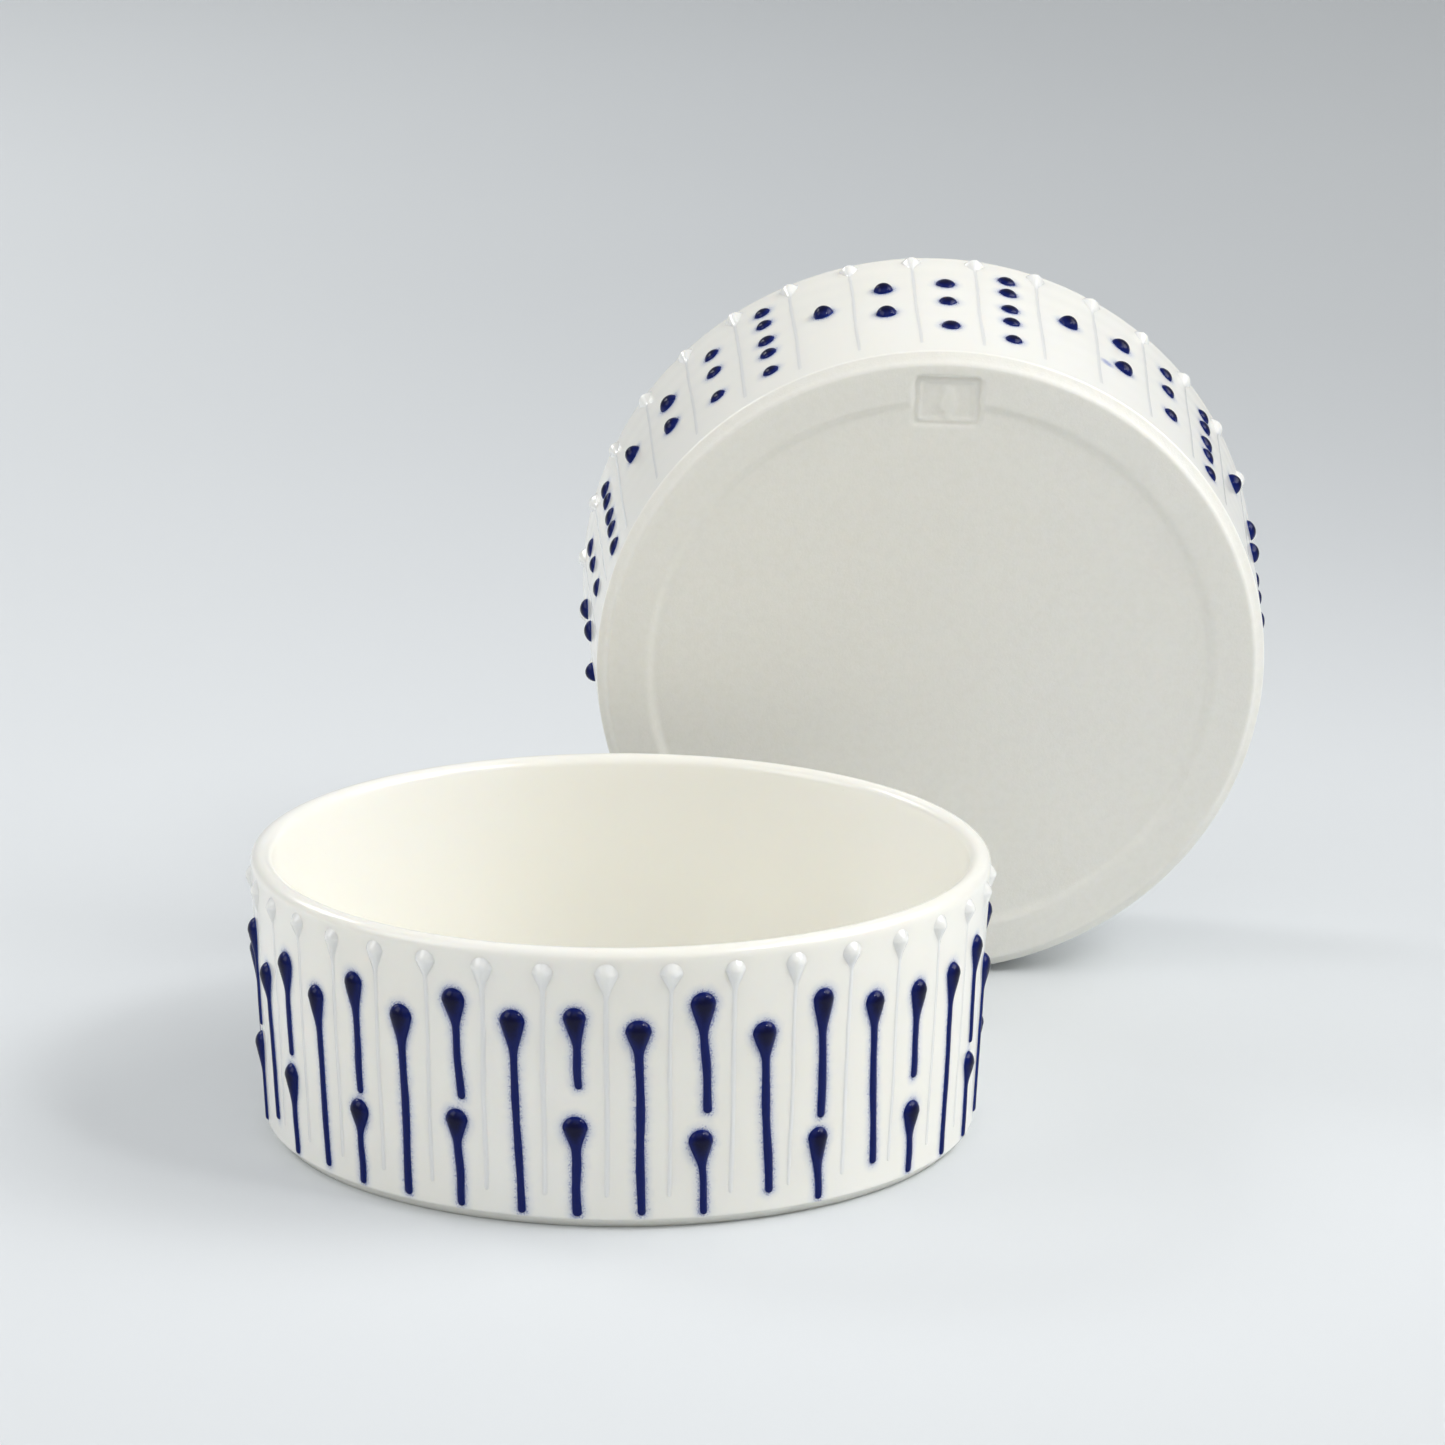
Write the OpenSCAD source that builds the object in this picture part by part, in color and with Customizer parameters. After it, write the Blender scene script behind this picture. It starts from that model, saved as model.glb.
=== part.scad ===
// Two-piece porcelain trinket box: a base and a cover, two thrown cups of one form.
// The base stands on its foot. The cover lies open behind it, on its side, on its foot edge
// and one of its dots. Each cup carries its own pattern of slip-trailed drops.
// Origin: centre of the base's foot, on the table. +Z up, -Y towards the front.

/* [Cup] */
// Outer diameter at the rim
cup_d = 100; // [98:0.5:102]
// Outer diameter just above the foot edge
foot_d = 96.2; // [95.2:0.1:96.6]
// Height from foot to rim
cup_h = 38.2; // [37.8:0.1:40]
// Thickness of the wall, which is also the full round of the rim
wall_t = 2.9; // [2.4:0.1:3.4]
// Thickness of the floor at the middle
floor_t = 3.2; // [2.8:0.1:4]
// Height and width of the bevel between wall and foot
foot_edge = 1.5; // [1.2:0.1:1.8]
// Radius inside, between wall and floor
inner_corner = 7; // [5:0.5:9]
// Diameter of the shallow recess inside the foot ring
recess_d = 80.4; // [78:0.2:82]
// Depth of that recess
recess_depth = 0.5; // [0.3:0.1:0.7]

/* [Stamp under the foot] */
// Width of the stamped panel, along the foot's edge
stamp_w = 10; // [8:0.5:12]
// Height of the stamped panel, across the foot ring
stamp_h = 7.8; // [6.6:0.2:8.4]
// Distance of the panel's centre from the cup's axis
stamp_at = 41; // [40:0.5:42]
// Depth of the panel below the foot ring
stamp_depth = 0.9; // [0.8:0.1:1.1]

/* [Drops] */
// Columns of colour round each cup, with a white drop between each two
columns = 36; // [36]
// Width of a white drop's head
white_w = 2.3; // [1.8:0.1:2.6]
// How far a white drop's head stands out of the wall
white_out = 1.3; // [1:0.1:1.4]
// Height of the white heads above the foot
white_z = 35; // [34.6:0.1:35.2]
// Width of a blue drop's head
blue_w = 3.3; // [3:0.1:3.5]
// How far a blue drop's head stands out of the wall
blue_out = 1.1; // [0.9:0.05:1.2]
// Width of a blue drop's tail
tail_w = 1.5; // [1.3:0.1:1.7]

/* [Dots on the cover] */
// Width of a large dot, in the columns of one and of two
dot_w = 3.7; // [3.4:0.1:3.8]
// How far a single dot stands out of the wall
single_out = 1.45; // [1.4:0.05:1.5]
// How far a dot of two stands out of the wall
double_out = 1.2; // [1:0.05:1.25]
// Width of a small dot, in the columns of three and of five
small_dot_w = 3; // [2.6:0.1:3.1]
// How far a small dot stands out of the wall
small_dot_out = 0.85; // [0.7:0.05:0.9]

/* [Place of the open cover] */
// Sideways place of the cover's foot, from the base's axis
cover_x = 43.6; // [20:0.1:60]
// Place of the cover's foot behind the base's axis
cover_y = 61.7; // [58:0.1:80]
// Turn of the cover about the vertical
cover_turn = 1.5; // [-5:0.5:5]

/* [Hidden] */

porcelain = "#f1f1ec";
cobalt = "#101a5c";

foot_r = foot_d/2;
rim_r = cup_d/2;
rim_round = wall_t/2;
// The wall leans outwards by this angle, from the foot edge to the rim's round.
draft = atan2(rim_r - foot_r, cup_h - rim_round - foot_edge);
recess_slope = 0.6;     // width of the slope at the recess's edge
sunk = 0.3;             // how deep a drop's back lies in the wall
pitch = 360/columns;

function wall_r(z) = foot_r + (z - foot_edge)*tan(draft);

// Radius of the sphere whose cap is this wide and stands out this far
function cap_r(w, out) = (w*w/4 + out*out)/(2*out);

// A hand-made unevenness between -1 and 1, different for each k and use
function uneven(k, use) = sin(137*k + 71*use);

function arc(x, y, r, from, to, steps = 10) =
    [for (i = [0:steps]) let (a = from + (to - from)*i/steps) [x + r*cos(a), y + r*sin(a)]];

// ---- the cup that both pieces share -------------------------------------

module cup_solid() {
    rim_x = rim_r - rim_round;
    rim_y = cup_h - rim_round;
    corner_y = floor_t + inner_corner;
    corner_x = wall_r(corner_y) - wall_t/cos(draft) - inner_corner;
    bevel_bulge = 0.6*foot_edge;
    rotate_extrude($fn = 144)
        polygon(concat(
            [[0, recess_depth], [recess_d/2, recess_depth], [recess_d/2 + recess_slope, 0]],
            [[foot_r - foot_edge, 0], [foot_r - foot_edge + bevel_bulge, foot_edge - bevel_bulge]],
            [[foot_r, foot_edge]],
            arc(rim_x, rim_y, rim_round, -draft, 180 - draft, 16),
            arc(corner_x, corner_y, inner_corner, -draft, -90),
            [[0, floor_t]]
        ));
}

module rounded_panel(w, h, r, depth) {
    linear_extrude(depth) {
        square([w - 2*r, h], center = true);
        square([w, h - 2*r], center = true);
        for (x = [-1, 1], y = [-1, 1])
            translate([x*(w/2 - r), y*(h/2 - r)]) circle(r, $fn = 24);
    }
}

// A plain panel pressed into the foot, with a raised drop and a dot in it
module stamp() {
    corner = 1.2;
    below = 1;
    turn = 2;
    raised = 0.4;
    motif_z = below + stamp_depth - raised;
    rotate([0, 0, turn]) translate([0, -stamp_at, -below]) difference() {
        rounded_panel(stamp_w, stamp_h, corner, below + stamp_depth);
        translate([0, -0.8, motif_z]) cylinder(h = 2, r = 1.3, $fn = 32);
        translate([0, 2, motif_z]) cylinder(h = 2, r = 0.6, $fn = 32);
    }
}

module cup() {
    color(porcelain) difference() {
        cup_solid();
        stamp();
    }
}

// ---- drops of slip on the wall ------------------------------------------

// Carries a shape to the wall: azimuth from the front, height above the foot.
// There x points out of the wall, z up along it; lean turns it on the wall.
module on_wall(azimuth, z, lean = 0) {
    rotate([0, 0, azimuth - 90]) translate([wall_r(z), 0, z])
        rotate([0, draft, 0]) rotate([lean, 0, 0]) children();
}

// A dome of slip this wide, standing this far out of the wall, with a flat back in the wall
module dome(w, out) {
    r = cap_r(w, out);
    back = acos((r - out - sunk)/r);
    rotate([0, 90, 0]) rotate_extrude($fn = 32)
        polygon(concat([[0, -sunk]], arc(0, out - r, r, 90 - back, 90, 6)));
}

// Half of a round turned about the wall's line, flat side in the wall; its outline
// is given as points of radius and height
module half_round(outline) {
    translate([-sunk, 0, 0]) rotate([0, 0, -90]) rotate_extrude(angle = 180, $fn = 32)
        polygon(outline);
}

// A blue drop: a domed head, a neck that narrows, and a long round tail
module blue_drop(length) {
    tail_r = tail_w/2;
    neck_r = blue_w*0.38;
    neck = blue_w*1.7;
    inside = blue_w*0.12;
    dome(blue_w, blue_out);
    half_round(concat(
        [[0, -inside]],
        arc(0, tail_r - length, tail_r, -90, 0, 3),
        [[tail_r, -neck], [tail_r*1.25, -neck*0.6], [neck_r, -inside]]
    ));
}

// A white drop: a small domed head and a thin ridge running down to the foot
module white_drop(length) {
    ridge_r = 0.5;
    inside = white_w*0.1;
    dome(white_w, white_out);
    half_round([[0, -inside], [0, -length], [ridge_r, -length], [ridge_r*1.2, -inside]]);
}

module white_drops(azimuths) {
    ridge_end = 4.5;
    color(porcelain) for (a = azimuths) on_wall(a, white_z) white_drop(white_z - ridge_end);
}

// ---- base ---------------------------------------------------------------

// The columns are laid by eye: they crowd a little on the front of the base.
function base_azimuth(k) = pitch*k - 3.3 - 3.9*sin(pitch*k + 42);
function base_lean(k, use) = 2 + 1.6*uneven(k, use);

// Heights of the heads and of the tails' ends, laid by eye; each run of nine goes round twice.
long_z = [27.2, 26, 27.5, 27.4, 23.5, 24.6, 26, 26.7, 28.1];
long_end = [2, 3.8, 4.8, 1.8, 2.5, 4.5, 2.4, 2, 1.8];
upper_z = [29, 30.7, 29.5, 27.2, 28.7, 28.5, 28.3, 29.7, 30.2];
upper_end = [19.3, 15.7, 13.1, 15, 14.9, 15.2, 15.5, 14.4, 16.6];
lower_z = [14, 12, 10.5, 10.4, 12.4, 12.7, 12.8, 12, 13.7];
lower_end = [1.8];

// Blue drops on every other column, each from its head's height down to its tail's end
module base_drops(first, heads, ends, use) {
    color(cobalt) for (i = [0:columns/2 - 1])
        let (
            k = first + 2*i,
            z = heads[i % len(heads)],
            end = ends[i % len(ends)]
        )
            on_wall(base_azimuth(k), z, base_lean(k, use)) blue_drop(z - end);
}

module base_body() { cup(); }
module base_white_drops() { white_drops([for (k = [0:columns - 1]) base_azimuth(k + 0.5)]); }
module base_long_drops() { base_drops(1, long_z, long_end, 1); }
module base_upper_drops() { base_drops(0, upper_z, upper_end, 2); }
module base_lower_drops() { base_drops(0, lower_z, lower_end, 3); }

// ---- cover --------------------------------------------------------------

// The columns open out a little over the top of the standing cover.
function cover_azimuth(k) = pitch*k + 2.8 + 3.2*sin(pitch*k);
function dot_z(k, z) = z + 0.8*uneven(k, 4) + 0.5*uneven(z, 5);

single_z = 21.8;
double_z = [25.3, 16];
triple_z = [27.5, 21, 12];
five_z = [29.8, 26, 19, 15.2, 8];

// The cover rests on the edge above its foot and on the single dot of its lowest column,
// which sits lower than the others: the table touches that corner and that dome.
rest_column = columns/2;
rest_dot_z = 18;
rest_r = cap_r(dot_w, single_out);
rest_x = (wall_r(rest_dot_z) + (single_out - rest_r)*cos(draft))
    * cos(cover_azimuth(rest_column) - 180) - foot_r;
rest_h = rest_dot_z - (single_out - rest_r)*sin(draft) - foot_edge;
rise = atan2(rest_x, rest_h) + asin(rest_r/norm([rest_x, rest_h]));
cover_z = foot_r*cos(rise) - foot_edge*sin(rise);

module in_cover() {
    translate([cover_x, cover_y, cover_z]) rotate([0, 0, cover_turn])
        rotate([rise - 90, 0, 0]) children();
}

// Dots at the given heights, on every fourth column
module cover_dots(first, heights, w, out) {
    color(cobalt) in_cover() for (k = [first:4:columns - 1], z = heights)
        on_wall(cover_azimuth(k), dot_z(k, z)) dome(w, out);
}

module cover_body() { in_cover() cup(); }
module cover_white_drops() {
    in_cover() white_drops([for (k = [0:columns - 1]) cover_azimuth(k - 0.5)]);
}
module cover_single_dots() {
    color(cobalt) in_cover() for (k = [2:4:columns - 1])
        on_wall(cover_azimuth(k), k == rest_column ? rest_dot_z : dot_z(k, single_z))
            dome(dot_w, single_out);
}
module cover_double_dots() { cover_dots(3, double_z, dot_w, double_out); }
module cover_triple_dots() { cover_dots(0, triple_z, small_dot_w, small_dot_out); }
module cover_five_dots() { cover_dots(1, five_z, small_dot_w, small_dot_out); }

base_body();
base_white_drops();
base_long_drops();
base_upper_drops();
base_lower_drops();
cover_body();
cover_white_drops();
cover_single_dots();
cover_double_dots();
cover_triple_dots();
cover_five_dots();
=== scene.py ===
from math import cos, pi, radians, sin, tan

import bmesh
import bpy
import numpy as np
from mathutils import Euler, Matrix, Vector


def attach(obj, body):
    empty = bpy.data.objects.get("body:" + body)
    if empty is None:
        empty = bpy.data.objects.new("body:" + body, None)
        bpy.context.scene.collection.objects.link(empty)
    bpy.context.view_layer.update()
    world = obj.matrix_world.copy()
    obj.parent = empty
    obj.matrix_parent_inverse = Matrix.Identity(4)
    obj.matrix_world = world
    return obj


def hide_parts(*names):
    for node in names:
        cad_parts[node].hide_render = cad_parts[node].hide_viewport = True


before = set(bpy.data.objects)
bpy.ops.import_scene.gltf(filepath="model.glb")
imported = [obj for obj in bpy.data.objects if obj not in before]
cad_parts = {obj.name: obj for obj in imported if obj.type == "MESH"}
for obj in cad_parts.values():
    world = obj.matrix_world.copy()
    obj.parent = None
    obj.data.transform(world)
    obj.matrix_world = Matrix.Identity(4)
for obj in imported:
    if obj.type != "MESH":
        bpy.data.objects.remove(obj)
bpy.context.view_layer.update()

# Lengths are in millimetres, and turn into metres where a mesh is made.
MM = 0.001

# ---- the cup that both pieces share ---------------------------------------

RIM_R = 50.0
CUP_H = 38.2
FOOT_R = 48.1
FOOT_EDGE = 1.5             # height and width of the bevel above the foot
WALL_T = 2.9
FLOOR_T = 3.2
INNER_CORNER = 7.0
RECESS_R = 40.2
RECESS_DEPTH = 0.5
ROUND = WALL_T / 2          # radius of the rim's round
DRAFT = np.arctan2(RIM_R - FOOT_R, CUP_H - ROUND - FOOT_EDGE)

# The foot's bevel, as (outwards from the flat of the foot, height).
BEVEL = [(0, 0.05), (0.28, 0.45), (0.62, 0.84), (1.02, 1.16), (FOOT_EDGE - 0.12, 1.42)]

# A generic mark pressed into the foot: a panel that holds a border, a drop and a dot.
STAMP_TURN = radians(2)
STAMP_AT = 41.0             # from the middle of the foot
STAMP_SIZE = (10.0, 7.8)
STAMP_CORNER = 1.2
STAMP_DEPTH = 0.9
MOTIF_H = 0.4
DROP_R, DROP_TAPER = 1.15, 0.3
DROP_LOW, DROP_HIGH = -0.6, 1.6
DOT_R, DOT_AT = 0.6, -2.3
BORDER_INSET, BORDER_HALF_W = 0.95, 0.18

SEGMENTS = 720              # round a cup
WALL_ROWS = 57
RIM_ROWS = 14
CORNER_ROWS = 9
BLUE_ROWS = 60              # rows above the bare foot that cobalt can bleed on
FAR = 9.0                   # a distance to the nearest cobalt that is too far to matter

# How hand-made the cups are: heights of the waves round them.
OUT_OF_ROUND = (0.10, 0.05)
RIPPLES = (0.02, 0.015)
RIM_WAVES = (0.09, 0.06)


def wall_r(z):
    """Radius of the outer wall at height z."""
    return FOOT_R + (z - FOOT_EDGE) * tan(DRAFT)


class Cup:
    """A cup's own frame, with +Z from foot to rim and azimuth 0 along front, and how uneven
    the hand left it. The scene's frame is the one that all pieces share."""

    def __init__(self, origin, axis, front, seed):
        z = np.array(axis, float)
        y = -(np.array(front, float) - z * np.dot(front, z))
        z /= np.linalg.norm(z)
        y /= np.linalg.norm(y)
        self.turn = np.array([np.cross(y, z), y, z]).T
        self.origin = np.array(origin, float)
        waves = np.random.default_rng(seed)
        self.phases = waves.uniform(0, 2 * pi, 6)

    def to_cup(self, points):
        return (np.asarray(points) - self.origin) @ self.turn

    def to_scene(self, points):
        return np.asarray(points) @ self.turn.T + self.origin

    def uneven_r(self, azimuth, z):
        """How far the throwing left the wall out of round, growing towards the rim."""
        p = self.phases
        wave = OUT_OF_ROUND[0] * np.sin(2 * azimuth + p[0])
        wave = wave + OUT_OF_ROUND[1] * np.sin(3 * azimuth + p[1])
        ripple = RIPPLES[0] * np.sin(z * 1.3 + azimuth + p[2])
        ripple = ripple + RIPPLES[1] * np.sin(7 * azimuth + p[3])
        return (wave + ripple) * np.clip(z / CUP_H, 0, 1)

    def uneven_z(self, azimuth, z):
        """How far the rim rises and falls round the cup."""
        p = self.phases
        wave = RIM_WAVES[0] * np.sin(2 * azimuth + p[4])
        wave = wave + RIM_WAVES[1] * np.sin(3 * azimuth + p[5])
        return wave * np.clip(z / CUP_H, 0, 1) ** 2

    def place(self, azimuth, r, z):
        """Points of the cup, uneven as thrown, in the scene's frame."""
        r = r + self.uneven_r(azimuth, z)
        z = z + self.uneven_z(azimuth, z)
        return self.to_scene(np.stack([r * np.sin(azimuth), -r * np.cos(azimuth), z], -1))

    def on_wall(self, azimuth, z, out):
        """Points that stand out of the outer wall."""
        return self.place(azimuth, wall_r(z) + out * cos(DRAFT), z - out * sin(DRAFT))


def cad_points(node):
    """The points of a CAD node, in millimetres."""
    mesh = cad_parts[node].data
    points = np.empty(len(mesh.vertices) * 3)
    mesh.vertices.foreach_get("co", points)
    return points.reshape(-1, 3) / MM


def find_cup(node, front, seed):
    """The frame of a CAD cup, from how its surface is spread about its axis: the spread along
    the axis differs from the two equal spreads across it."""
    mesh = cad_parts[node].data
    area = np.array([f.area for f in mesh.polygons])
    centre = np.array([f.center for f in mesh.polygons]) / MM
    mean = (centre * area[:, None]).sum(0) / area.sum()
    spread = ((centre - mean) * area[:, None]).T @ (centre - mean)
    values, vectors = np.linalg.eigh(spread)
    odd_one = 0 if values[1] - values[0] > values[2] - values[1] else 2
    axis = vectors[:, odd_one]
    along = cad_points(node) @ axis
    if along.min() + along.max() < 2 * mean @ axis:
        axis = -axis        # the mean lies towards the foot, so the axis pointed there
        along = -along
    return Cup(mean + axis * (along.min() - mean @ axis), axis, front, seed)


# ---- meshes ---------------------------------------------------------------

def new_piece(name, points, faces, body, node, slot, materials, zones=None):
    """A smooth-shaded mesh in the scene's frame that stands for a CAD node and rides its body."""
    mesh = bpy.data.meshes.new(name)
    mesh.from_pydata((np.asarray(points) * MM).tolist(), [], faces)
    mesh.polygons.foreach_set("use_smooth", [True] * len(mesh.polygons))
    for material in materials:
        mesh.materials.append(material)
    if zones is not None:
        mesh.polygons.foreach_set("material_index", zones)
    mesh.update()
    piece = bpy.data.objects.new(name, mesh)
    bpy.context.scene.collection.objects.link(piece)
    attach(piece, body)
    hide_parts(node)
    return piece


def paint(piece, name, values):
    """Gives each point of the piece a number that its material reads."""
    layer = piece.data.attributes.new(name, "FLOAT", "POINT")
    layer.data.foreach_set("value", np.asarray(values, np.float32))


def smooth_step(x, low, high):
    t = np.clip((x - low) / (high - low), 0, 1)
    return t * t * (3 - 2 * t)


# ---- cup bodies -----------------------------------------------------------

BISQUE, GLAZE = 0, 1


def arc(x, y, r, start, end, steps):
    """Points on an arc, its angles in degrees."""
    angles = np.radians(np.linspace(start, end, steps))
    return [(x + r * cos(a), y + r * sin(a)) for a in angles]


def cup_outline():
    """(radius, height) from the middle of the foot, up the wall, over the rim and down to the
    middle of the floor, and how many of the first points are bare clay."""
    draft = np.degrees(DRAFT)
    flat_r = FOOT_R - FOOT_EDGE
    under = [(r, RECESS_DEPTH) for r in (6, 14, 22, 30, 35)]
    for r in np.arange(36.4, flat_r - 0.1, 0.3):        # fine enough for the stamp
        step = smooth_step(r, RECESS_R - 0.5, RECESS_R + 1.1)
        under.append((r, RECESS_DEPTH * (1 - step)))
    under += [(flat_r + x, z) for x, z in BEVEL]
    corner = [(FOOT_R, FOOT_EDGE), (wall_r(1.75) + 0.02, 1.75)]
    wall = [(wall_r(z), z) for z in np.linspace(2.1, CUP_H - ROUND - 0.4, WALL_ROWS)]
    rim = arc(RIM_R - ROUND, CUP_H - ROUND, ROUND, -draft, 180 - draft, RIM_ROWS)
    corner_z = FLOOR_T + INNER_CORNER
    corner_r = wall_r(corner_z) - WALL_T / cos(DRAFT) - INNER_CORNER
    top = np.array(rim[-1])
    end = np.array([corner_r + INNER_CORNER * cos(DRAFT), corner_z - INNER_CORNER * sin(DRAFT)])
    inner = [tuple(top + (end - top) * k / 8) for k in range(1, 8)]
    inner += arc(corner_r, corner_z, INNER_CORNER, -draft, -90, CORNER_ROWS)
    floor = [(r, FLOOR_T) for r in (30, 20, 10)]
    return under + corner + wall + rim + inner + floor, len(under)


def stamped(azimuth, r, z):
    """The foot's heights with the stamp pressed in."""
    turned = (azimuth - STAMP_TURN + pi) % (2 * pi) - pi
    x = r * np.sin(turned)
    y = r * np.cos(turned) - STAMP_AT
    dx = np.abs(x) - STAMP_SIZE[0] / 2 + STAMP_CORNER
    dy = np.abs(y) - STAMP_SIZE[1] / 2 + STAMP_CORNER
    outside = np.hypot(np.maximum(dx, 0), np.maximum(dy, 0))
    outside = outside + np.minimum(np.maximum(dx, dy), 0) - STAMP_CORNER
    spine = np.clip(y, DROP_LOW, DROP_HIGH)
    drop = np.hypot(x, y - spine) - DROP_R + DROP_TAPER * spine
    dot = np.hypot(x, y - DOT_AT) - DOT_R
    border = np.abs(outside + BORDER_INSET) - BORDER_HALF_W
    motif = 1 - smooth_step(np.minimum(np.minimum(drop, dot), border), -0.3, 0.35)
    pressed = 1 - smooth_step(outside, -0.6, 0.15)
    return z + (STAMP_DEPTH - MOTIF_H * motif - z) * pressed


def lathe_faces(rows, n):
    """Faces between rows of n points, closed at both ends by a fan round one more point each."""
    i = np.arange(rows - 1)[:, None] * n
    j = np.arange(n)[None, :]
    k = (j + 1) % n
    quads = np.stack([i + j, i + k, i + n + k, i + n + j], -1).reshape(-1, 4)
    fan = np.arange(n)
    under = np.stack([np.full(n, rows * n), (fan + 1) % n, fan], -1)
    last = (rows - 1) * n
    over = np.stack([np.full(n, rows * n + 1), last + fan, last + (fan + 1) % n], -1)
    return quads.tolist() + under.tolist() + over.tolist()


def cup_body(name, cup, body, node, stains):
    """A whole cup, bare under its foot and glazed above. It also returns the azimuth and height
    of each point of its grid."""
    outline, bare = cup_outline()
    azimuth = np.linspace(0, 2 * pi, SEGMENTS, endpoint=False)
    r = np.array([p[0] for p in outline])[:, None] + 0 * azimuth
    z = np.array([p[1] for p in outline])[:, None] + 0 * azimuth
    turn = azimuth[None, :] + 0 * r
    z[:bare] = stamped(turn[:bare], r[:bare], z[:bare])
    points = cup.place(turn, r, z).reshape(-1, 3)
    low_centre = cup.to_scene([[0, 0, RECESS_DEPTH]])
    high_centre = cup.to_scene([[0, 0, FLOOR_T]])
    points = np.concatenate([points, low_centre, high_centre])
    rows, n = r.shape
    zones = [BISQUE] * ((bare - 1) * n) + [GLAZE] * ((rows - bare) * n)
    zones += [BISQUE] * n + [GLAZE] * n
    piece = new_piece(name, points, lathe_faces(rows, n), body, node, "porcelain_glaze",
                      [bisque, glaze], zones)
    distance = np.full(r.shape, FAR)
    outer = slice(bare, bare + BLUE_ROWS)
    distance[outer] = nearest_stain(turn[outer], z[outer], stains)
    paint(piece, "blue_distance", np.concatenate([distance.reshape(-1), [FAR, FAR]]))
    return piece, turn, z


def smudged(turn, z, azimuth, height):
    """A wiped spot of cobalt, as strong as each point of a cup's mesh has it."""
    half_w, half_h, slant = 1.6, 1.3, 0.25
    across = ((turn - azimuth + pi) % (2 * pi) - pi) * RIM_R
    spot = np.hypot(across / half_w, (z - height + slant * across) / half_h)
    return np.concatenate([(1 - smooth_step(spot, 0.2, 1)).reshape(-1), [0, 0]])


# ---- drops of slip --------------------------------------------------------

WELD = 0.002
LOBE_ROWS = 11              # rows of points over a head's top
NECK_ROWS = 12
TAIL_ROWS = 16
TIP_ROWS = 7
SWELL = 0.06                # how unevenly a tail thickens, as a share of its width
WOBBLE = 0.12               # how far a tail strays from straight
ACROSS = 12                 # steps across a drop's front
SUNK = 0.22                 # how deep a drop's back lies inside the wall
BACK_W = 0.96               # the back's width, as a share of the front's
EDGE_SUNK = 0.01            # how deep its edges lie, so that they never hover


def islands(node):
    """The separate solids of a CAD node, each as its points. A copy of the mesh is welded
    first, because the CAD's faces don't share their points."""
    mesh = bmesh.new()
    mesh.from_mesh(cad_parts[node].data)
    bmesh.ops.remove_doubles(mesh, verts=mesh.verts, dist=WELD * MM)
    mesh.verts.ensure_lookup_table()
    left = set(range(len(mesh.verts)))
    while left:
        found, queue = [], [left.pop()]
        while queue:
            vert = mesh.verts[queue.pop()]
            found.append(vert.co / MM)
            near = {edge.other_vert(vert).index for edge in vert.link_edges} & left
            left -= near
            queue += sorted(near)
        yield np.array(found)
    mesh.free()


def read_drops(cup, node):
    """(azimuth, height of the head, azimuth and height of the tail's end) of each CAD drop."""
    drops = []
    for points in islands(node):
        x, y, z = cup.to_cup(points).T
        azimuth = np.arctan2(x, -y)
        out = np.hypot(x, y) - wall_r(z)
        top = out.argmax()
        near = np.unwrap([azimuth[top], azimuth[z.argmin()]])
        drops.append((near[0], z[top], near[1], z.min()))
    return sorted(drops)


class Slip:
    """The outline of one drop on the wall: stations down its middle, each with a half width and
    a share of the drop's height. A short drop is a round dot, a long one has a neck and tail."""

    def __init__(self, drop, head_r, out, tail_r, tail_out, neck, power, rng):
        azimuth, z, tail_azimuth, tail_z = drop
        self.out, self.power = out, power
        lobe = np.linspace(0, pi / 2, LOBE_ROWS)
        w = list(head_r * np.sin(lobe))
        along = list(z + head_r * np.cos(lobe))
        thick = list(np.sin(lobe) ** (2 * power))
        if tail_z < z - 2 * head_r:
            length = z - tail_z - tail_r
            d = np.concatenate([np.linspace(0, neck, NECK_ROWS)[1:],
                                np.linspace(neck, length, TAIL_ROWS)[1:]])
            narrowing = 1 - smooth_step(d, -0.15 * neck, neck)
            swell = 1 + SWELL * np.sin(d * rng.uniform(0.5, 0.9) + rng.uniform(0, 6))
            body = tail_r * swell + (head_r - tail_r) * narrowing
            w += list(body)
            along += list(z - d)
            thick += list(tail_out / out + (1 - tail_out / out) * narrowing)
            self.core = slice(len(lobe) - 1, len(w))
            end_w, end_thick = w[-1], thick[-1]
            tip = np.linspace(0, pi / 2, TIP_ROWS)[1:]
            w += list(end_w * np.cos(tip))
            along += list(z - length - tail_r * np.sin(tip))
            thick += list(end_thick * np.cos(tip))
        else:
            self.core = slice(len(lobe) - 1, len(lobe))
            w += w[-2::-1]
            along += list(2 * z - np.array(along[-2::-1]))
            thick += thick[-2::-1]
        self.w, self.z, self.thick = np.array(w), np.array(along), np.array(thick)
        share = np.clip((z - self.z) / max(z - tail_z, 1), 0, 1)
        wobble = WOBBLE * np.sin(share * rng.uniform(4, 8) + rng.uniform(0, 6))
        wobble = wobble * share * (1 - share) * 4
        self.azimuth = azimuth + (tail_azimuth - azimuth) * share + wobble / RIM_R

    def mesh(self, cup):
        """Closed rings down the drop, with a flat back inside the wall."""
        s = np.cos(np.linspace(pi, 0, ACROSS + 1))
        dome = (1 - s * s) ** self.power
        points, marks = [], []
        for azimuth, z, w, thick in zip(self.azimuth, self.z, self.w, self.thick):
            side = s * w / wall_r(z)
            back_side = side[::4][::-1] * BACK_W
            front = cup.on_wall(azimuth + side, z + 0 * s, self.out * thick * dome - EDGE_SUNK)
            back = cup.on_wall(azimuth + back_side, z + 0 * back_side, -SUNK)
            points.append(np.concatenate([front, back]))
            marks.append(np.concatenate([thick * dome, 0 * back_side]))
        return ring_mesh(points, marks)


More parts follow.
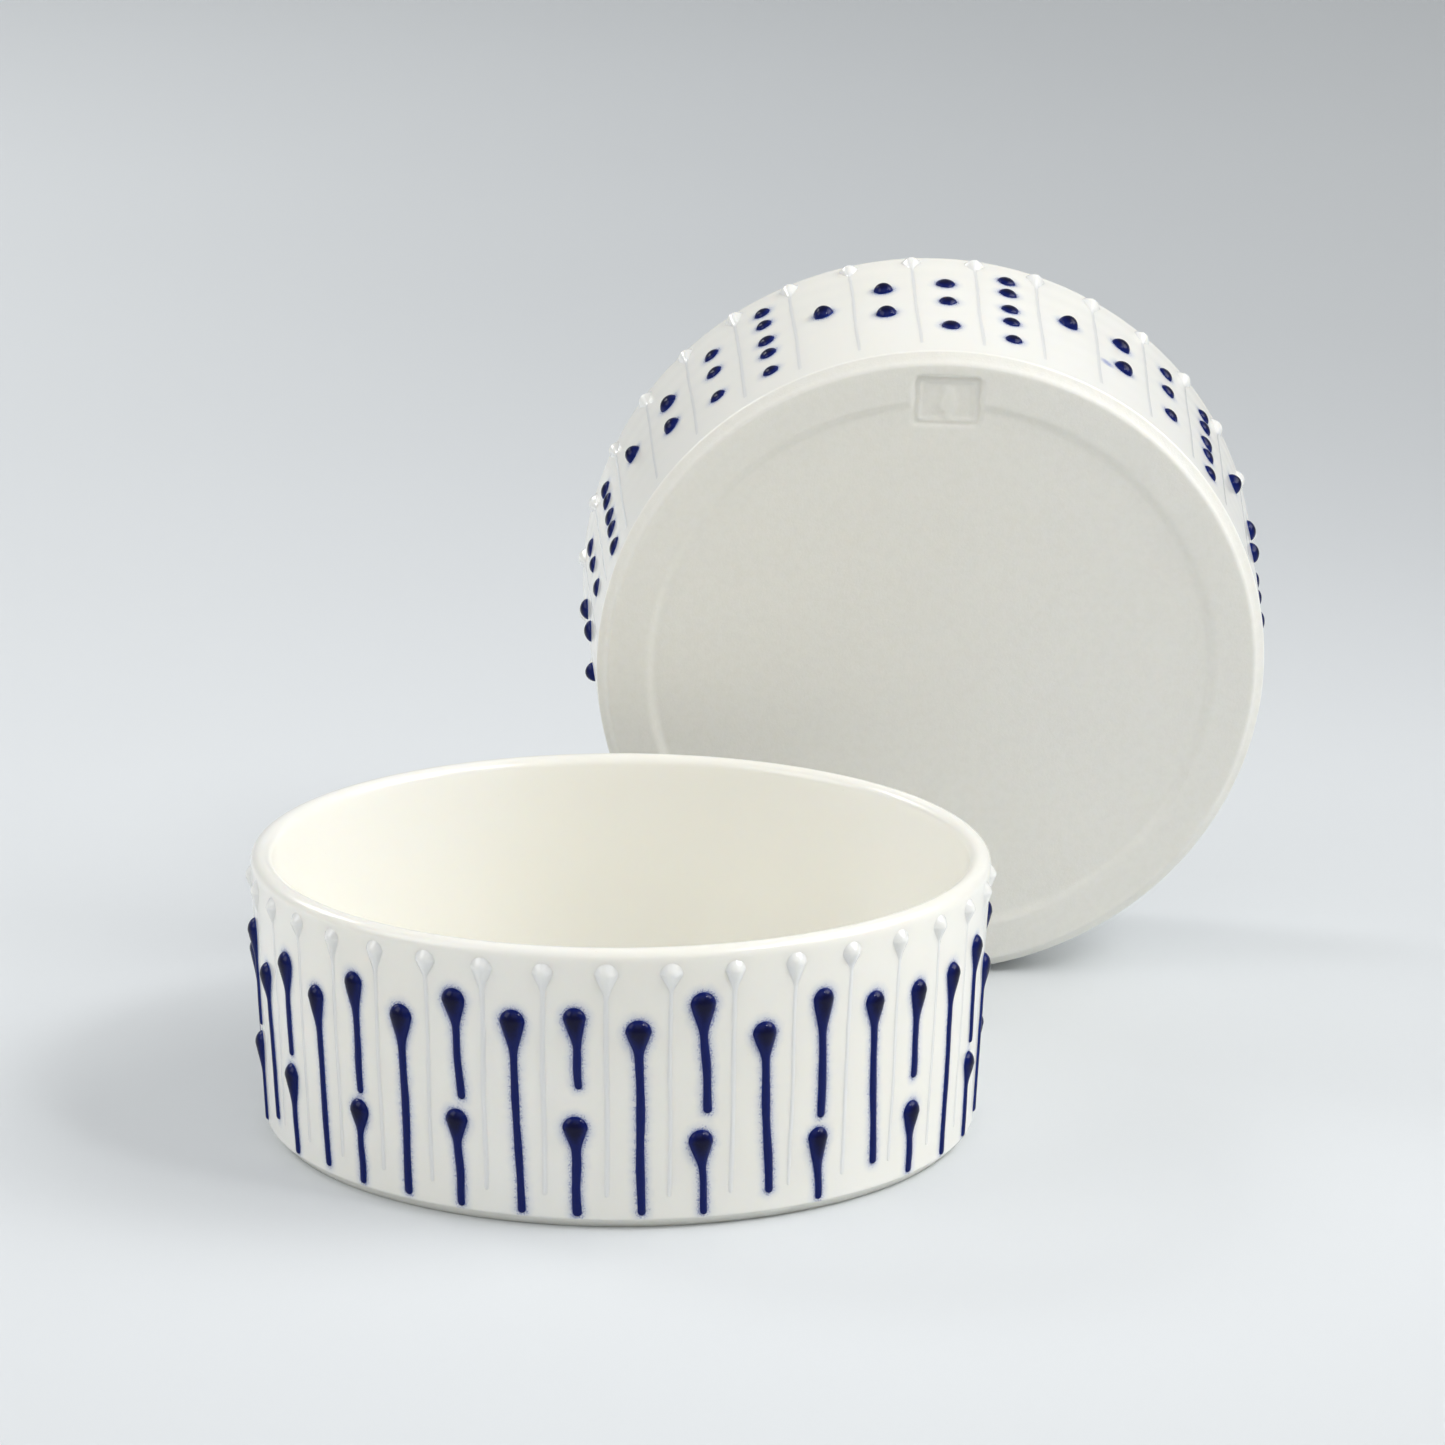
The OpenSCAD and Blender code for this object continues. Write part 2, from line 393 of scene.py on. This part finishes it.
def ring_mesh(rings, marks):
    """Points, faces and marks of a closed tube whose end rings shrink to a point."""
    n = len(rings[0])
    middle = rings[1:-1]
    points = np.concatenate([rings[0][:1]] + middle + [rings[-1][:1]])
    values = np.concatenate([marks[0][:1]] + marks[1:-1] + [marks[-1][:1]])
    faces = []
    last = len(points) - 1
    for j in range(n):
        k = (j + 1) % n
        faces.append((0, 1 + k, 1 + j))
        for i in range(len(middle) - 1):
            a, b = 1 + i * n, 1 + (i + 1) * n
            faces.append((a + j, a + k, b + k, b + j))
        a = 1 + (len(middle) - 1) * n
        faces.append((a + j, a + k, last))
    return points, faces, values


def slip_piece(name, cup, body, node, slips, slot, material):
    """All the drops of a CAD node as one piece."""
    points, faces, marks = [], [], []
    count = 0
    for slip in slips:
        p, f, m = slip.mesh(cup)
        points.append(p)
        faces += [tuple(v + count for v in face) for face in f]
        marks.append(m)
        count += len(p)
    piece = new_piece(name, np.concatenate(points), faces, body, node, slot, [material])
    paint(piece, "thickness", np.concatenate(marks))
    return piece


def nearest_stain(azimuth, z, stains):
    """Distance from each place on the wall to the nearest blue edge, at most FAR."""
    found = np.full(azimuth.shape, FAR)
    for slip in stains:
        turn = (azimuth - slip.azimuth.mean() + pi) % (2 * pi) - pi
        near = (np.abs(turn) * RIM_R < 6) & (z > slip.z.min() - 3) & (z < slip.z.max() + 3)
        u, v = turn[near] * RIM_R, z[near]
        best = np.full(u.shape, FAR)
        middle = slip.azimuth - slip.azimuth.mean()
        for a, w, h in zip(middle[slip.core], slip.w[slip.core], slip.z[slip.core]):
            best = np.minimum(best, np.hypot(u - a * RIM_R, v - h) - w)
        found[near] = np.minimum(found[near], best)
    return found


def slips_of(cup, node, seed, head_r, out, tail_r=0.56, tail_out=0.36, neck=4.0, power=0.62):
    """One slip for each drop of a CAD node, no two quite alike. A head has a radius and stands
    out of the wall, over its neck's length it becomes a tail with a half width and height of
    its own, and a greater power makes the drop run out more softly at its sides."""
    rng = np.random.default_rng(seed)
    made = []
    for drop in read_drops(cup, node):
        own_head_r = head_r * rng.uniform(0.92, 1.06)
        own_out = out * rng.uniform(0.9, 1.0)
        own_tail_r = tail_r * rng.uniform(0.88, 1.1)
        own_neck = neck * rng.uniform(0.8, 1.3)
        made.append(Slip(drop, own_head_r, own_out, own_tail_r, tail_out, own_neck, power, rng))
    return made


def rest_on_floor(cup, slips):
    """Raises the dot that a leaning cup stands on until it touches the floor."""
    def lowest(slip):
        return slip.mesh(cup)[0][:, 2].min()

    dot = min(slips, key=lowest)
    for _ in range(4):      # each pass leaves a few hundredths of the gap
        dot.out += lowest(dot)


# ---- materials ------------------------------------------------------------

# Where the Mix node keeps its colour sockets.
MIX_COLOURS_IN = slice(6, 8)
MIX_COLOUR_OUT = 2


class Nodes:
    """A short way to write a material's node tree."""

    def __init__(self, name):
        self.material = bpy.data.materials.new(name)
        self.material.use_nodes = True
        self.tree = self.material.node_tree
        self.shader = self.tree.nodes["Principled BSDF"]
        self.place = self.add("ShaderNodeTexCoord").outputs["Object"]

    def add(self, kind, inputs=(), **settings):
        node = self.tree.nodes.new(kind)
        for key, value in settings.items():
            setattr(node, key, value)
        for key, value in dict(inputs).items():
            self.set(node.inputs[key], value)
        return node

    def set(self, socket, value):
        if isinstance(value, bpy.types.NodeSocket):
            self.tree.links.new(value, socket)
        else:
            socket.default_value = value

    def noise(self, scale, detail, roughness=0.5):
        """Noise about 0.5, with scale cells to the metre."""
        inputs = {"Vector": self.place, "Scale": scale, "Detail": detail, "Roughness": roughness}
        return self.add("ShaderNodeTexNoise", inputs).outputs["Fac"]

    def attribute(self, name):
        """What paint() gave the piece."""
        return self.add("ShaderNodeAttribute", attribute_name=name).outputs["Fac"]

    def math(self, operation, a, b=0.5, c=0.5):
        node = self.add("ShaderNodeMath", operation=operation)
        for socket, value in zip(node.inputs, (a, b, c)):
            self.set(socket, value)
        return node.outputs[0]

    def span(self, value, low, high, to_low=0.0, to_high=1.0):
        """Runs smoothly from to_low, where the value is low, to to_high, where it is high."""
        inputs = {"Value": value, "From Min": low, "From Max": high,
                  "To Min": to_low, "To Max": to_high}
        node = self.add("ShaderNodeMapRange", inputs, interpolation_type="SMOOTHSTEP")
        return node.outputs["Result"]

    def mix(self, factor, a, b):
        """Colour a where the factor is 0 and b where it is 1."""
        node = self.add("ShaderNodeMix", data_type="RGBA")
        self.set(node.inputs["Factor"], factor)
        for socket, colour in zip(node.inputs[MIX_COLOURS_IN], (a, b)):
            self.set(socket, (*colour, 1) if isinstance(colour, tuple) else colour)
        return node.outputs[MIX_COLOUR_OUT]

    def bump(self, height, distance, strength):
        inputs = {"Height": height, "Distance": distance, "Strength": strength}
        self.set(self.shader.inputs["Normal"], self.add("ShaderNodeBump", inputs).outputs["Normal"])

    def surface(self, **values):
        """Sets the shader's own sockets, with _ for a space in a name."""
        for key, value in values.items():
            self.set(self.shader.inputs[key.replace("_", " ")], value)


IVORY = (0.868, 0.856, 0.785)
PALE_IVORY = (0.888, 0.882, 0.832)
SPECK = (0.55, 0.5, 0.42)
BARE = (0.80, 0.79, 0.735)
BARE_SHADE = (0.765, 0.755, 0.695)
SLIP_WHITE = (0.9, 0.9, 0.87)
BLUE_WASH = (0.20, 0.30, 0.60)      # cobalt that has bled far into the glaze
BLUE_BLEED = (0.03, 0.075, 0.36)    # and close to a drop
BLUE_SMUDGE = (0.05, 0.12, 0.5)
BLUE_THIN = (0.012, 0.045, 0.26)    # cobalt slip at a drop's edge
BLUE_TAIL = (0.0006, 0.0065, 0.098)
BLUE_THICK = (0.0006, 0.0012, 0.026)


def porcelain(n):
    """Fired porcelain's colour: cloudy ivory white with a few fine specks."""
    clouds = n.span(n.noise(22, 1), 0.25, 0.75)
    body = n.mix(clouds, PALE_IVORY, IVORY)
    specks = n.span(n.noise(2200, 1), 0.80, 0.83)
    return n.mix(n.math("MULTIPLY", specks, 0.2), body, SPECK)


# Under their coats, the glaze and the slips keep a roughness of 0.28 or more. Renders had hard
# edges in the gloss when the glaze's ran from 0.26 to 0.30, and none were seen since.

def translucent(n):
    """Light goes a little way into porcelain, red further than blue."""
    n.surface(Subsurface_Weight=0.25, Subsurface_Scale=0.002, IOR=1.5)
    n.shader.inputs["Subsurface Radius"].default_value = (1.0, 0.85, 0.6)


def make_glaze():
    """Clear gloss glaze over porcelain, with cobalt that bled into it beside the blue drops."""
    n = Nodes("clear_glaze")
    white = porcelain(n)
    distance = n.attribute("blue_distance")
    grain = n.noise(5200, 2, 0.75)
    rough_edge = n.math("MULTIPLY_ADD", grain, 2.2, n.math("SUBTRACT", distance, 1.1))
    speckle = n.span(rough_edge, 0.48, -0.1)
    soft_edge = n.math("MULTIPLY_ADD", n.noise(900, 2), 0.8, n.math("SUBTRACT", distance, 0.4))
    wash = n.span(soft_edge, 1.5, 0.0)
    faint = n.mix(n.math("MULTIPLY", wash, 0.24), white, BLUE_WASH)
    bled = n.mix(n.math("MULTIPLY", speckle, 0.72), faint, BLUE_BLEED)
    smudge = n.math("MULTIPLY", n.attribute("smudge"), n.span(grain, 0.3, 0.6, 0.5, 0.8))
    n.surface(Base_Color=n.mix(smudge, bled, BLUE_SMUDGE))
    n.surface(Roughness=n.span(n.noise(20, 1), 0.2, 0.8, 0.285, 0.325))
    n.surface(Coat_Weight=0.6, Coat_Roughness=0.12, Coat_IOR=1.45)
    translucent(n)
    return n.material


def make_bisque():
    """Bare porcelain, sanded matt, with a fine grain."""
    n = Nodes("bare_porcelain")
    dull = n.span(n.noise(900, 4, 0.65), 0.35, 0.7)
    n.surface(Base_Color=n.mix(0.6, porcelain(n), n.mix(dull, BARE, BARE_SHADE)))
    n.surface(Roughness=n.span(n.noise(1500, 3), 0.3, 0.7, 0.5, 0.68))
    translucent(n)
    n.bump(n.noise(2600, 4, 0.7), 0.00005, 0.8)
    return n.material


def make_cobalt():
    """Cobalt slip under the glaze: near black where thick, bright blue where it thins."""
    n = Nodes("cobalt_slip")
    thickness = n.attribute("thickness")
    grain = n.noise(2600, 3, 0.7)
    depth = n.math("MULTIPLY_ADD", grain, 0.3, n.math("SUBTRACT", thickness, 0.15))
    thin = n.mix(n.span(depth, 0.0, 0.16), BLUE_THIN, BLUE_TAIL)
    n.surface(Base_Color=n.mix(n.span(depth, 0.35, 0.95), thin, BLUE_THICK))
    n.surface(Roughness=n.span(grain, 0.35, 0.7, 0.285, 0.40), Specular_IOR_Level=0.04)
    n.surface(Coat_Weight=0.3, Coat_Roughness=0.06, Coat_IOR=1.5)
    n.bump(n.noise(700, 2), 0.00008, 0.5)
    return n.material


def make_white_slip():
    """White slip under the same clear glaze, a little brighter than the wall."""
    n = Nodes("white_slip")
    n.surface(Base_Color=n.mix(0.5, porcelain(n), SLIP_WHITE))
    n.surface(Roughness=n.span(n.noise(20, 1), 0.2, 0.8, 0.28, 0.315))
    n.surface(Coat_Weight=1.0, Coat_Roughness=0.05, Coat_IOR=1.5)
    translucent(n)
    n.bump(n.noise(900, 2), 0.00006, 0.5)
    return n.material


glaze = make_glaze()
bisque = make_bisque()
cobalt = make_cobalt()
white_slip = make_white_slip()

# ---- the pieces -----------------------------------------------------------

base = Cup((0, 0, 0), (0, 0, 1), (0, -1, 0), seed=11)
cover = find_cup("cover_body", front=(0, 0, 1), seed=12)
cups = {"base": base, "cover": cover}

# What sets the drops of each CAD node apart. Where they are is read from the node.
COBALT_DROPS = {
    "base_long_drops": dict(seed=1, head_r=1.65, out=1.1, neck=4.2),
    "base_upper_drops": dict(seed=2, head_r=1.65, out=1.1, neck=4.4),
    "base_lower_drops": dict(seed=3, head_r=1.6, out=1.05, neck=4.0),
    "cover_single_dots": dict(seed=4, head_r=1.5, out=1.35),
    "cover_double_dots": dict(seed=5, head_r=1.52, out=1.1),
    "cover_triple_dots": dict(seed=6, head_r=1.35, out=0.65),
    "cover_five_dots": dict(seed=7, head_r=1.35, out=0.65),
}
WHITE_DROPS = {
    "base_white_drops": dict(seed=8, head_r=1.5, out=0.9, tail_r=0.34, tail_out=0.08,
                             neck=2.8, power=1.25),
    "cover_white_drops": dict(seed=9, head_r=1.5, out=0.95, tail_r=0.3, tail_out=0.035,
                              neck=2.6, power=1.05),
}
SMUDGE = (radians(31), 14.3)        # azimuth and height of a slip of the brush on the cover


def body_of(node):
    return node.split("_")[0]


def slips_by_node(table):
    return {node: slips_of(cups[body_of(node)], node, **form) for node, form in table.items()}


cobalt_slips = slips_by_node(COBALT_DROPS)
white_slips = slips_by_node(WHITE_DROPS)
rest_on_floor(cover, cobalt_slips["cover_single_dots"])

for body, cup in cups.items():
    stains = [slip for node, slips in cobalt_slips.items() if body_of(node) == body
              for slip in slips]
    piece, turn, z = cup_body(f"{body}_cup", cup, body, f"{body}_body", stains)
    if body == "cover":
        paint(piece, "smudge", smudged(turn, z, *SMUDGE))
for slot, material, slips_in in (("cobalt_glaze", cobalt, cobalt_slips),
                                 ("porcelain_glaze", white_slip, white_slips)):
    for node, slips in slips_in.items():
        body = body_of(node)
        slip_piece(f"{node}_slip", cups[body], body, node, slips, slot, material)

# ---- stage, light and camera, in metres -----------------------------------

TABLE = (0.725, 0.752, 0.77)
TABLE_SHADE = tuple(0.985 * c for c in TABLE)

# The table's half width, nearest edge, where it starts to bend up, how tightly, and its top.
HALF_WIDTH, NEAR, BEND_Y, BEND_R, TOP = 3.0, -2.5, 1.25, 0.35, 2.2

CAMERA_AT = (0.01362, -0.84387, 0.27376)
CAMERA_PITCH = radians(14.5)
CAMERA_ROLL = radians(0.37)
LENS = 161.7                # in millimetres, on a sensor 36 mm wide


def make_table():
    """Plain pale card, a little cloudy."""
    n = Nodes("pale_table")
    shade = n.span(n.noise(3, 2), 0.3, 0.7)
    n.surface(Base_Color=n.mix(shade, TABLE, TABLE_SHADE), Roughness=0.6)
    return n.material


def stage_sweep():
    """A pale table that curves up into a backdrop far behind."""
    profile = [(NEAR, 0.0), (BEND_Y, 0.0)]
    for a in np.linspace(0, pi / 2, 13)[1:]:
        profile.append((BEND_Y + BEND_R * sin(a), BEND_R - BEND_R * cos(a)))
    profile.append((BEND_Y + BEND_R, TOP))
    points = [(x, y, z) for y, z in profile for x in (-HALF_WIDTH, HALF_WIDTH)]
    faces = [(2 * k, 2 * k + 1, 2 * k + 3, 2 * k + 2) for k in range(len(profile) - 1)]
    mesh = bpy.data.meshes.new("sweep")
    mesh.from_pydata(points, [], faces)
    mesh.polygons.foreach_set("use_smooth", [True] * len(faces))
    mesh.materials.append(make_table())
    sweep = bpy.data.objects.new("sweep", mesh)
    bpy.context.scene.collection.objects.link(sweep)


def soft_light(name, azimuth, elevation, distance, size, power, aim=(0.02, 0.03, 0.03), spread=180):
    """A square area light that looks at a place. Azimuth 0 is in front of it and 90 to its
    right, and angles are in degrees."""
    lamp = bpy.data.lights.new(name, "AREA")
    lamp.shape = "RECTANGLE"
    lamp.size = lamp.size_y = size
    lamp.energy = power
    lamp.spread = radians(spread)
    light = bpy.data.objects.new(name, lamp)
    turn, rise = radians(azimuth), radians(elevation)
    way = Vector((cos(rise) * sin(turn), -cos(rise) * cos(turn), sin(rise)))
    light.location = Vector(aim) + way * distance
    light.rotation_euler = way.to_track_quat("Z", "Y").to_euler()
    bpy.context.scene.collection.objects.link(light)


def studio_world(strength):
    """Even white light from all round."""
    world = bpy.data.worlds.new("studio")
    world.use_nodes = True
    background = world.node_tree.nodes["Background"]
    background.inputs["Color"].default_value = (1, 1, 1, 1)
    background.inputs["Strength"].default_value = strength
    bpy.context.scene.world = world


def photo_camera():
    """The photo's viewpoint."""
    camera = bpy.data.cameras.new("camera")
    camera.sensor_width = 36
    camera.lens = LENS
    camera.clip_start = 0.05
    view = bpy.data.objects.new("camera", camera)
    view.location = CAMERA_AT
    tilt = Euler((pi / 2 - CAMERA_PITCH, 0, 0)).to_matrix()
    view.rotation_euler = (tilt @ Matrix.Rotation(CAMERA_ROLL, 3, "Z")).to_euler()
    bpy.context.scene.collection.objects.link(view)
    bpy.context.scene.camera = view


stage_sweep()
soft_light("key", 78, 38, 1.1, size=0.42, power=1.5)
soft_light("key_beam", 95, 35, 0.8, size=0.45, power=0.6, aim=(-0.2, 0.0, 0.0), spread=90)
soft_light("sparkle", 60, 45, 0.8, size=0.12, power=0.1, aim=(-0.08, 0.0, 0.0), spread=60)
soft_light("front", 0, 45, 1.2, size=0.9, power=1.3)
soft_light("left", -70, 35, 1.2, size=0.7, power=3.2)
soft_light("backdrop", -100, 60, 0.8, size=0.5, power=2.5, aim=(-0.6, 0.7, 0.2), spread=90)
studio_world(0.45)
photo_camera()
bpy.context.scene.view_settings.view_transform = "Standard"
